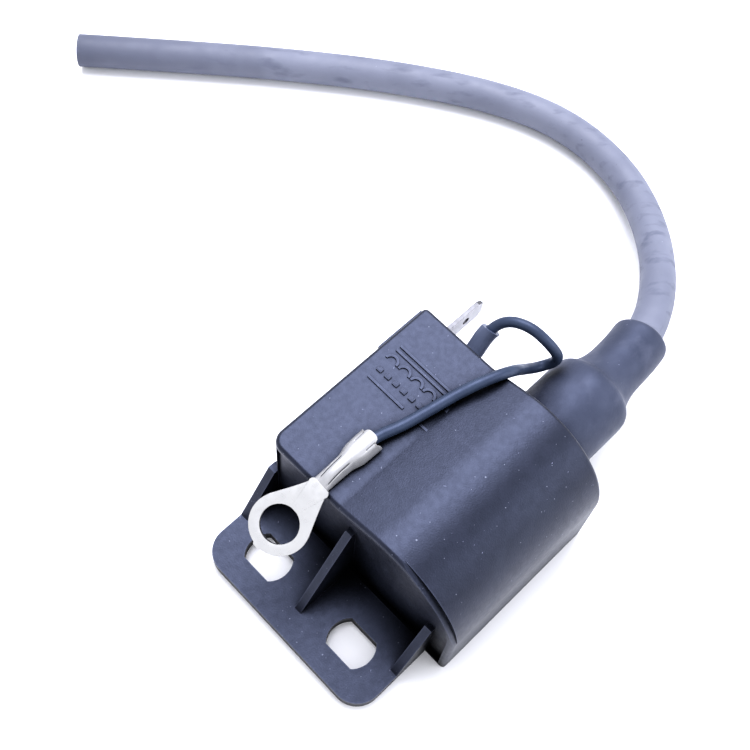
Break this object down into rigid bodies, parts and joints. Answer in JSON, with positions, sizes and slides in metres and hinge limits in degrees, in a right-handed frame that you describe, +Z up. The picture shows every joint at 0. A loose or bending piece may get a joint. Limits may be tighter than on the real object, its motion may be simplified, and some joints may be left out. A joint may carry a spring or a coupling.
{
  "type": "ignition coil",
  "caption": "Potted electronic ignition coil in a black moulded housing with slotted mounting foot, rubber boot, high tension lead, spade tab and ground lead with ring terminal.",
  "frame": {"origin": "midway between the two mounting slots, on the underside of the flange", "axes": "+X along the coil from the flange towards the boot, +Y towards the flat upright side of the block, +Z up from the mounting face"},
  "size_m": [0.123, 0.1522, 0.0312],
  "materials": {
    "housing_plastic": "satin",
    "resin": "glossy",
    "boot_rubber": "matt",
    "lead_rubber": "matt",
    "copper": "bare",
    "brass": "bare",
    "lead_sheath": "satin",
    "sleeve_plastic": "satin",
    "tinned_metal": "bright tin plate",
    "core_steel": "satin",
    "bobbin_plastic": "moulded",
    "insulating_film": "film",
    "enamelled_wire": "enamelled",
    "board": "paper laminate",
    "capacitor_case": "dipped",
    "component_black": "moulded",
    "resistor_body": "lacquered"
  },
  "bodies": {
    "root": {"housing": "housing_plastic", "potting_compound": "resin", "boot": "boot_rubber", "high_tension_lead": "lead_rubber", "high_tension_conductor": "copper", "high_tension_contact": "brass", "ground_lead": "lead_sheath", "ground_conductor": "copper", "ground_sleeve": "sleeve_plastic", "ring_terminal": "tinned_metal", "spade_terminal": "tinned_metal", "core_laminations": "core_steel", "core_ground_strap": "brass", "primary_bobbin": "bobbin_plastic", "primary_winding": "copper", "interlayer_insulation": "insulating_film", "secondary_bobbin": "bobbin_plastic", "secondary_winding": "enamelled_wire", "circuit_board": "board", "discharge_capacitor": "capacitor_case", "thyristor": "component_black", "charging_diodes": "component_black", "resistors": "resistor_body", "ground_post": "tinned_metal"}
  },
  "joints": []
}
